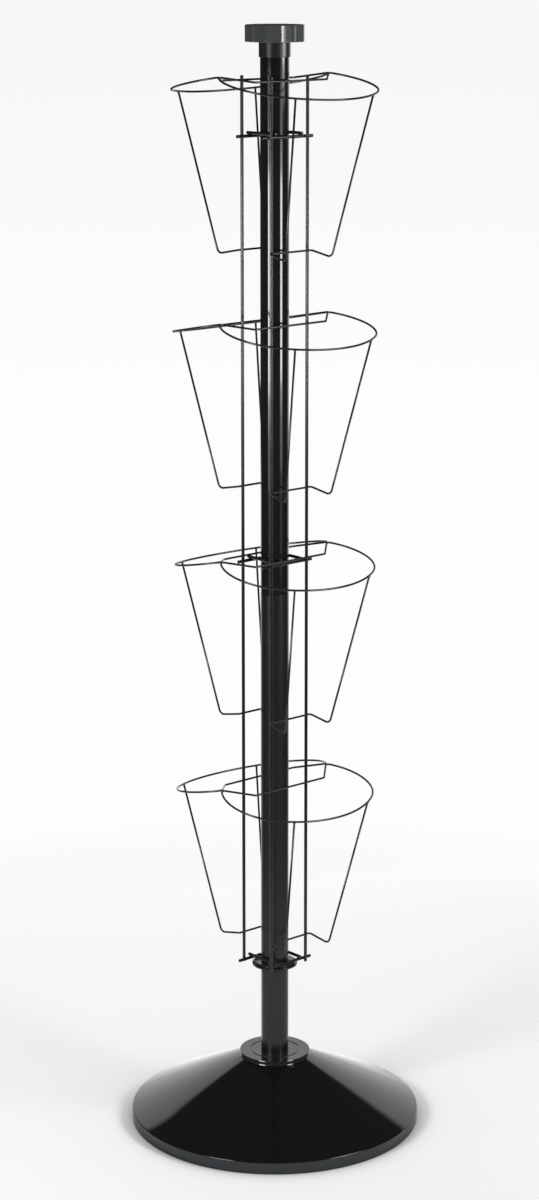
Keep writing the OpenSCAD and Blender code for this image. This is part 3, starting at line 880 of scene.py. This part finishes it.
# Each softbox is brightest in its middle: its layers are (width, height, radiance) from the
# middle out, and lie on top of each other
softboxes = {
    "left": {
        "azimuth": -43.5, "height": 0.99,
        "layers": ((0.49, 0.41, 22.0), (0.53, 0.56, 6.0), (0.64, 0.78, 2.5), (0.62, 1.15, 0.4))
    },
    "right": {
        "azimuth": 53.5, "height": 1.0,
        "layers": ((0.40, 0.38, 18.0), (0.44, 0.50, 4.5), (0.58, 0.72, 2.0), (0.56, 1.15, 0.5))
    },
    "high": {"azimuth": 72.5, "height": 1.57, "layers": ((0.48, 0.40, 15.0), (0.80, 0.55, 3.5))}
}
softboxDistance = 1.5
softboxAim = 0.9  # height on the pole's axis that they point at


def addSoftbox(name, look):
    # Power = radiance * pi * area
    place = atAzimuth(look["azimuth"], softboxDistance, look["height"])
    turn = (Vector((0, 0, softboxAim)) - Vector(place)).to_track_quat("-Z", "Y").to_euler()
    for number, (wide, tall, radiance) in enumerate(look["layers"]):
        lamp = bpy.data.lights.new(f"softbox_{name}_{number}", "AREA")
        lamp.shape = "RECTANGLE"
        lamp.size, lamp.size_y = wide, tall
        lamp.energy = radiance * math.pi * wide * tall
        box = bpy.data.objects.new(lamp.name, lamp)
        box.location = place
        box.rotation_euler = turn
        box.visible_camera = False
        bpy.context.scene.collection.objects.link(box)


# White paper round the rear, which only reflections see: a tall sheet far behind the rack, and
# a low one close by on the left. The glow falls off over softFrom and softTo degrees and over
# topFade.
backdrops = {
    "rear": {
        "distance": 3.0, "from": 122.0, "to": 177.5, "softFrom": 10.0, "softTo": 1.0,
        "top": 2.1, "topFade": 0.35, "glow": 1.1, "columns": 100, "rows": 40
    },
    "left": {
        "distance": 1.0, "from": 174.0, "to": 226.0, "softFrom": 1.0, "softTo": 2.0,
        "top": 0.80, "topFade": 0.12, "glow": 1.1, "columns": 80, "rows": 40
    }
}


def backdropFinish():
    # White light, as strong as the sheet's glow at each point
    finish = bpy.data.materials.new("backdrop_glow")
    tree = emptyTree(finish)
    level = node(tree, "Attribute", {}, attribute_name="glow").outputs["Fac"]
    light = node(tree, "Emission", {"Color": white, "Strength": level})
    node(tree, "OutputMaterial", {"Surface": light.outputs["Emission"]})
    return finish


def addBackdrop(name, look, finish):
    # Part of a cylinder round the pole: point (i, j) at the azimuth a_j and the height z_i, with
    # glow = top glow * s^2 (3 - 2 s), where s is the product of the three falls
    azimuth = np.linspace(look["from"], look["to"], look["columns"])[None, :]
    z = np.linspace(0, look["top"], look["rows"])[:, None]
    points = atAzimuth(azimuth + 0 * z, look["distance"], z + 0 * azimuth).reshape(-1, 3)
    s = (
        np.clip((azimuth - look["from"]) / look["softFrom"], 0, 1)
        * np.clip((look["to"] - azimuth) / look["softTo"], 0, 1)
        * np.clip((look["top"] - z) / look["topFade"], 0, 1)
    )
    glow = look["glow"] * s * s * (3 - 2 * s)
    i = np.arange(look["rows"] - 1)[:, None]
    j = np.arange(look["columns"] - 1)
    a = i * look["columns"] + j
    quads = np.stack([a, a + look["columns"], a + look["columns"] + 1, a + 1], -1)
    paper = addMesh(f"studio_backdrop_{name}", points, [quads.reshape(-1, 4)], finish)
    level = paper.data.attributes.new("glow", "FLOAT", "POINT")
    level.data.foreach_set("value", glow.ravel())
    for rays in ("camera", "diffuse", "shadow", "transmission", "volume_scatter"):
        setattr(paper, f"visible_{rays}", False)


# Floor: a pale disc that takes the rack's shadow. It glows for the camera and in reflections,
# there more so behind the rack, and has painted shade round the foot: ambient occlusion darkens
# its glow and its colour in the nook under the rim. Depths run from the pole towards the
# azimuth, wedges are cosines, and fades are distances from the pole.
floorLook = {
    "radius": 3.0, "rings": 90, "around": 96, "albedo": 0.8, "paintedShadeReach": 0.3,
    "glowAndPaintedShadowAzimuth": 191.0, "cameraGlow": (0.141, 0.647), "cameraDepth": (-0.4, 0.95),
    "edgeFade": (0.95, 1.35), "rearAzimuth": 185.0, "rearWedge": (0.5, 0.85),
    "glossGlow": (0.05, 0.78), "frontFade": (0.5, 1.5)
}


def depthTo(tree, place, azimuth):
    # Dot product of the place and the azimuth's direction
    way = tuple(atAzimuth(azimuth, 1.0, 0.0))
    made = node(tree, "VectorMath", {0: place, 1: way}, operation="DOT_PRODUCT")
    return made.outputs["Value"]


def floorFinish():
    # A glow added to a matt white. For the camera the disc's edge melts into the background,
    # and in reflections its front fades into the room. The camera's glow rises towards the rear
    # and a little to the left, so the right-rear stays darker: a painted shadow of the rack.
    look = floorLook
    finish = bpy.data.materials.new("studio_floor")
    tree = emptyTree(finish)
    place = tree.nodes.new("ShaderNodeTexCoord").outputs["Object"]
    rays = tree.nodes.new("ShaderNodeLightPath").outputs
    out = node(tree, "VectorMath", {0: place}, operation="LENGTH").outputs["Value"]
    mirrored = maths(tree, "MAXIMUM", rays["Is Glossy Ray"], rays["Is Transmission Ray"])
    turn = maths(tree, "DIVIDE", depthTo(tree, place, look["rearAzimuth"]), out)
    rear = spread(tree, turn, *look["rearWedge"])
    mirrorGlow = spread(tree, rear, 0.0, 1.0, *look["glossGlow"])
    # Painted shadow: the camera's glow rises along an azimuth turned past the rear to the left,
    # leaving the right-rear darker
    depth = depthTo(tree, place, look["glowAndPaintedShadowAzimuth"])
    seenGlowWithPaintedShadow = spread(tree, depth, *look["cameraDepth"], *look["cameraGlow"])
    glow = maths(
        tree, "ADD", maths(tree, "MULTIPLY", mirrored, mirrorGlow),
        maths(tree, "MULTIPLY", rays["Is Camera Ray"], seenGlowWithPaintedShadow)
    )
    # Painted shade: ambient occlusion darkens the floor's glow near the foot and under its rim
    paintedNookShade = tree.nodes.new("ShaderNodeAmbientOcclusion")
    paintedNookShade.inputs["Distance"].default_value = look["paintedShadeReach"]
    glow = maths(tree, "MULTIPLY", glow, paintedNookShade.outputs["AO"])
    light = node(tree, "Emission", {"Color": white, "Strength": glow})
    # Painted shade: the floor's white is darkened by the same occlusion
    pale = tint(tree, paintedNookShade.outputs["AO"], (0, 0, 0), [look["albedo"]] * 3)
    matt = node(tree, "BsdfDiffuse", {"Color": pale})
    lit = node(tree, "AddShader", {0: light.outputs[0], 1: matt.outputs[0]})
    clear = node(tree, "BsdfTransparent", {})
    far = maths(tree, "MULTIPLY", rays["Is Camera Ray"], spread(tree, out, *look["edgeFade"]))
    front = maths(tree, "MULTIPLY", mirrored, spread(tree, out, *look["frontFade"]))
    front = maths(tree, "MULTIPLY", front, maths(tree, "SUBTRACT", 1.0, rear))
    gone = maths(tree, "ADD", far, front)
    mixed = node(tree, "MixShader", {"Fac": gone, 1: lit.outputs[0], 2: clear.outputs[0]})
    node(tree, "OutputMaterial", {"Surface": mixed.outputs["Shader"]})
    return finish


def addFloor(finish):
    # Point (i, j) = (r_i cos a_j, r_i sin a_j, 0) from the outermost ring in. The last ring's
    # fan closes on the middle, the first and only point after the grid.
    rings, around = floorLook["rings"], floorLook["around"]
    r = np.linspace(floorLook["radius"] / rings, floorLook["radius"], rings)[::-1, None]
    points = np.concatenate([turned(r, 0 * r, ringOf(around)), [[0, 0, 0]]])
    quads, fans = gridFaces(rings, around, False)
    paper = addMesh("studio_floor", points, [quads, fans[around:] - (0, 0, 1)], finish)


worldLook = {
    "low": (0.980, 0.982, 0.982), "high": (0.915, 0.920, 0.920), "lowAt": -0.16,
    "highAt": -0.02, "room": 0.05
}


def addWorld():
    # The camera sees the pale backdrop, a little darker towards the horizon; everything else
    # sees a dim room
    look = worldLook
    world = bpy.data.worlds.new("studio_world")
    bpy.context.scene.world = world
    tree = emptyTree(world)
    way = tree.nodes.new("ShaderNodeTexCoord").outputs["Generated"]
    up = spread(tree, zOf(tree, way), look["lowAt"], look["highAt"])
    paper = tint(tree, up, look["low"], look["high"])
    seen = tree.nodes.new("ShaderNodeLightPath").outputs["Is Camera Ray"]
    colour = tint(tree, seen, [look["room"]] * 3, paper)
    sky = node(tree, "Background", {"Color": colour, "Strength": 1.0})
    node(tree, "OutputWorld", {"Surface": sky.outputs["Background"]})


addCamera()
for name, look in softboxes.items():
    addSoftbox(name, look)
paperFinish = backdropFinish()
for name, look in backdrops.items():
    addBackdrop(name, look, paperFinish)
addFloor(floorFinish())
addWorld()
bpy.context.scene.view_settings.view_transform = "Standard"
print("studio: camera, softboxes, backdrops, floor and world")
